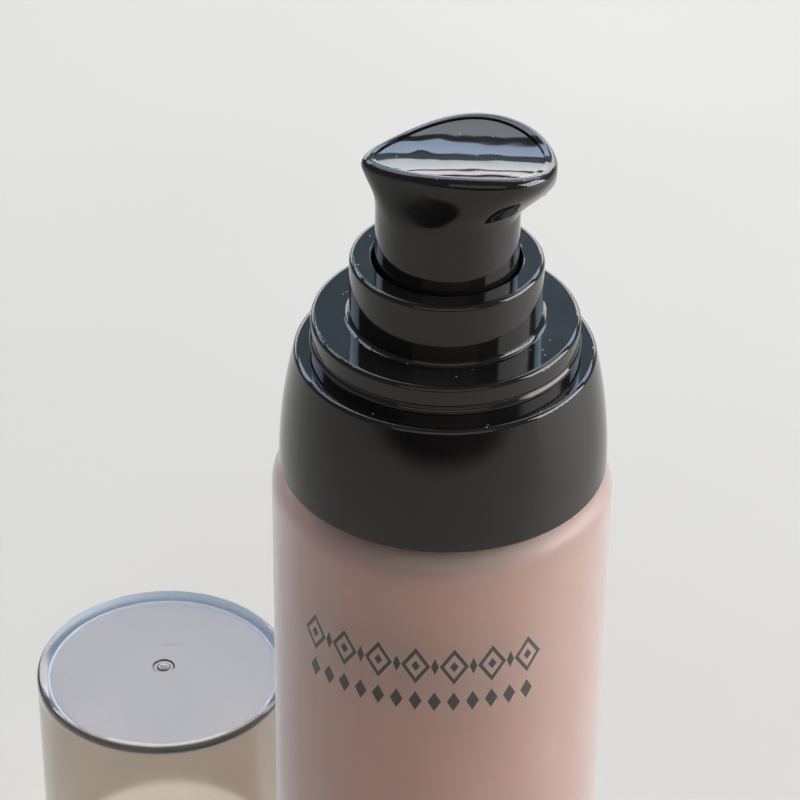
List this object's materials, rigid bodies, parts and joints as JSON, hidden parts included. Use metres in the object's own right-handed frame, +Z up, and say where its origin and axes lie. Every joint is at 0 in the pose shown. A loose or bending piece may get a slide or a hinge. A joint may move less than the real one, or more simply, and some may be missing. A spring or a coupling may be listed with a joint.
{
  "type": "foundation pump bottle",
  "caption": "Cylindrical pump bottle for liquid foundation: frosted glass body, screw-on stepped collar, thumb-pad cream pump with its valve train, and a tinted overcap standing beside it.",
  "frame": {"origin": "centre of the bottle's base, on the surface it stands on", "axes": "+Z up along the bottle's axis; the printed front faces -Y; the pump's outlet points to +X"},
  "size_m": [0.066, 0.0559, 0.1153],
  "materials": {
    "frosted_glass": "frosted",
    "foundation": "liquid, satin",
    "black_gloss": "high gloss",
    "black_inner": "satin",
    "soft_seal": "matte",
    "natural_plastic": "natural, slightly translucent",
    "white_plastic": "satin",
    "clear_tube": "translucent",
    "steel": "drawn",
    "smoke_clear": "clear smoke tint, gloss"
  },
  "bodies": {
    "bottle": {"glass_bottle": "frosted_glass", "foundation_fill": "foundation"},
    "overcap": {"overcap": "smoke_clear"},
    "pump": {"pump_housing": "natural_plastic", "housing_cap": "white_plastic", "dip_tube": "clear_tube", "neck_gasket": "soft_seal", "return_spring": "steel"},
    "closure": {"collar_shell": "black_gloss", "threaded_closure": "black_inner"},
    "inlet_valve": {"inlet_ball": "steel"},
    "stem": {"piston_rod": "white_plastic", "upper_stem": "white_plastic"},
    "piston": {"piston": "soft_seal"},
    "pump_head": {"actuator": "black_gloss", "nozzle_insert": "black_inner"}
  },
  "joints": [
    {"name": "overcap_lift", "type": "slide", "parent": "bottle", "child": "overcap", "axis": [0, 0, 1], "range_m": [0, 0.125]},
    {"name": "pump_lift", "type": "slide", "parent": "bottle", "child": "pump", "axis": [0, 0, 1], "range_m": [0, 0.004]},
    {"name": "closure_turn", "type": "hinge", "parent": "pump", "child": "closure", "pos_m": [0, 0, 0.094], "axis": [0, 0, 1], "range_deg": [0, 450]},
    {"name": "ball_lift", "type": "slide", "parent": "pump", "child": "inlet_valve", "axis": [0, 0, 1], "range_m": [0, 0.001]},
    {"name": "press", "type": "slide", "parent": "pump", "child": "stem", "axis": [0, 0, -1], "range_m": [0, 0.0046], "stiffness_N_per_m": 1500, "springref_m": -0.003, "deforming": ["return_spring"]},
    {"name": "piston_lag", "type": "slide", "parent": "stem", "child": "piston", "axis": [0, 0, 1], "range_m": [0, 0.0008]},
    {"name": "actuator_turn", "type": "hinge", "parent": "stem", "child": "pump_head", "pos_m": [0, 0, 0.105], "axis": [0, 0, 1], "continuous": true}
  ],
  "couplings": [
    {"joint": "pump_lift", "follows": "closure_turn", "m_per_rad": 0.00050611}
  ]
}
